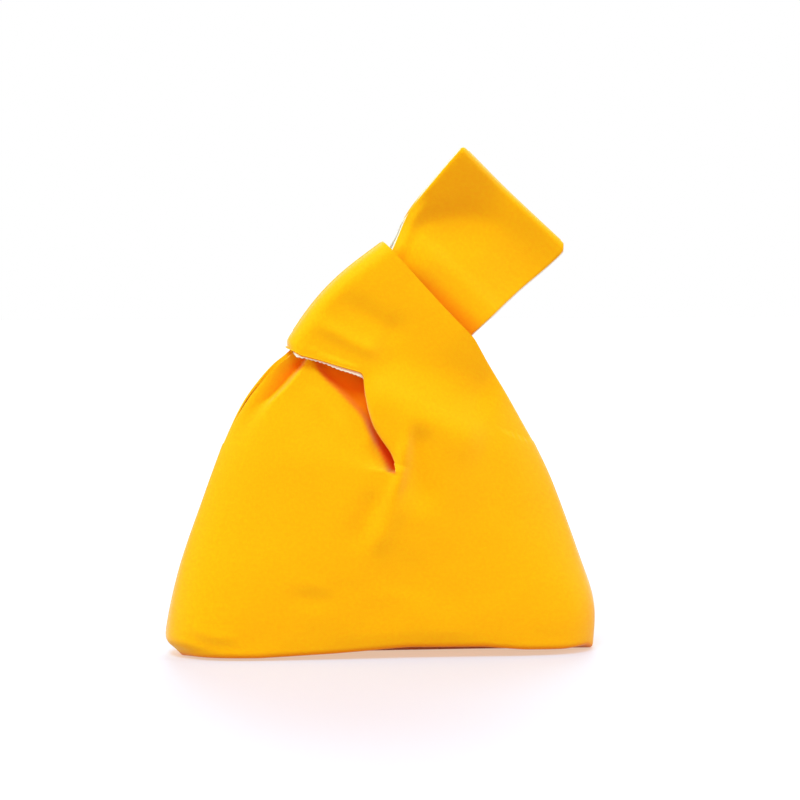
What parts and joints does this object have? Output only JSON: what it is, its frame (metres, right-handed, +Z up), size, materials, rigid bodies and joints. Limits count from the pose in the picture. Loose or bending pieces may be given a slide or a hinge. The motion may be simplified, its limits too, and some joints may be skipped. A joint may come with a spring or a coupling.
{
  "type": "japanese knot bag",
  "caption": "Small lined cloth pouch with a long and a short loop; the long loop is drawn through the short one, which closes the mouth and leaves a wrist handle.",
  "frame": {"origin": "on the floor, under the middle of the bag's bounding box", "axes": "+Z up, the front of the bag towards -Y, the handle leaning towards +X"},
  "size_m": [0.2, 0.046, 0.2346],
  "materials": {
    "canvas": "matte, plain-woven yellow cotton canvas",
    "lining": "matte white cotton lining",
    "seam": "matte turned-in seam allowance of the canvas"
  },
  "bodies": {
    "bag": {"front_pouch_outer": "canvas", "front_pouch_lining": "lining", "back_pouch_outer": "canvas", "back_pouch_lining": "lining", "front_short_loop_outer": "canvas", "front_short_loop_lining": "lining", "back_short_loop_outer": "canvas", "back_short_loop_lining": "lining", "front_strap_root_outer": "canvas", "front_strap_root_lining": "lining", "back_strap_root_outer": "canvas", "back_strap_root_lining": "lining", "left_side_seam": "seam", "right_side_seam": "seam", "bottom_seam": "seam", "short_loop_seam": "seam"},
    "strap": {"front_strap_throat_outer": "canvas", "front_strap_throat_lining": "lining", "back_strap_throat_outer": "canvas", "back_strap_throat_lining": "lining"},
    "handle_neck": {"front_handle_neck_outer": "canvas", "front_handle_neck_lining": "lining", "back_handle_neck_outer": "canvas", "back_handle_neck_lining": "lining"},
    "handle": {"front_handle_loop_outer": "canvas", "front_handle_loop_lining": "lining", "back_handle_loop_outer": "canvas", "back_handle_loop_lining": "lining", "handle_crown_seam": "seam"}
  },
  "joints": [
    {"name": "handle_pull", "type": "slide", "parent": "bag", "child": "strap", "axis": [0.6691, 0, 0.7431], "range_m": [0, 0.018]},
    {"name": "handle_swing", "type": "hinge", "parent": "strap", "child": "handle_neck", "pos_m": [0.02382, 0, 0.17015], "axis": [0, -1, 0], "range_deg": [-20, 15]},
    {"name": "handle_flop", "type": "hinge", "parent": "handle_neck", "child": "handle", "pos_m": [0.03329, 0, 0.18066], "axis": [0.7431, 0, -0.6691], "range_deg": [-80, 80], "deforming": ["front_handle_neck_outer", "front_handle_neck_lining", "back_handle_neck_outer", "back_handle_neck_lining"]}
  ]
}
